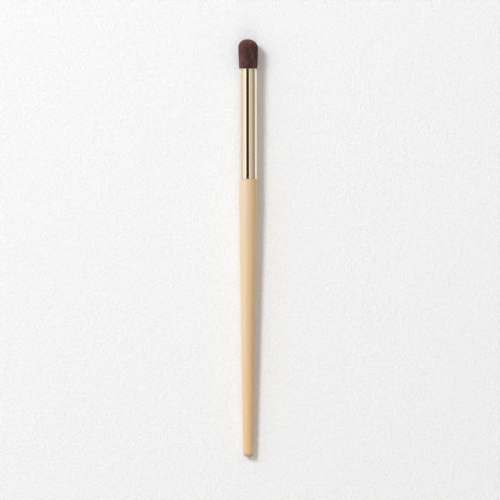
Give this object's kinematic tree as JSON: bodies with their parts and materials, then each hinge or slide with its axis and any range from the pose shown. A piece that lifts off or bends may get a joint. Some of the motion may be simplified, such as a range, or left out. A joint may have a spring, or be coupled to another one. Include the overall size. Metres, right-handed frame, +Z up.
{
  "type": "blending brush",
  "caption": "Slim cosmetic brush with a tapered wooden handle, a polished pale gold metal ferrule and a short domed tuft of soft dark bristles.",
  "frame": {"origin": "On the surface that the brush lies on, under the middle of its bounding box.", "axes": "+Y runs along the brush towards the tip of the tuft, +Z is up, and +X is to the right with the tuft ahead. The brush lies on its handle's belly and its butt, so its axis rises by 0.92 degrees towards the tuft."},
  "size_m": [0.0076, 0.165, 0.0085],
  "materials": {
    "lacquered_wood": "satin",
    "gold_metal": "polished",
    "bristle": "matte",
    "thread": "matte",
    "resin": "gloss",
    "glue": "satin"
  },
  "bodies": {
    "root": {"handle": "lacquered_wood", "ferrule": "gold_metal", "bristle_tuft": "bristle", "root_binding": "thread", "resin_plug": "resin", "tenon_glue": "glue"}
  },
  "joints": []
}
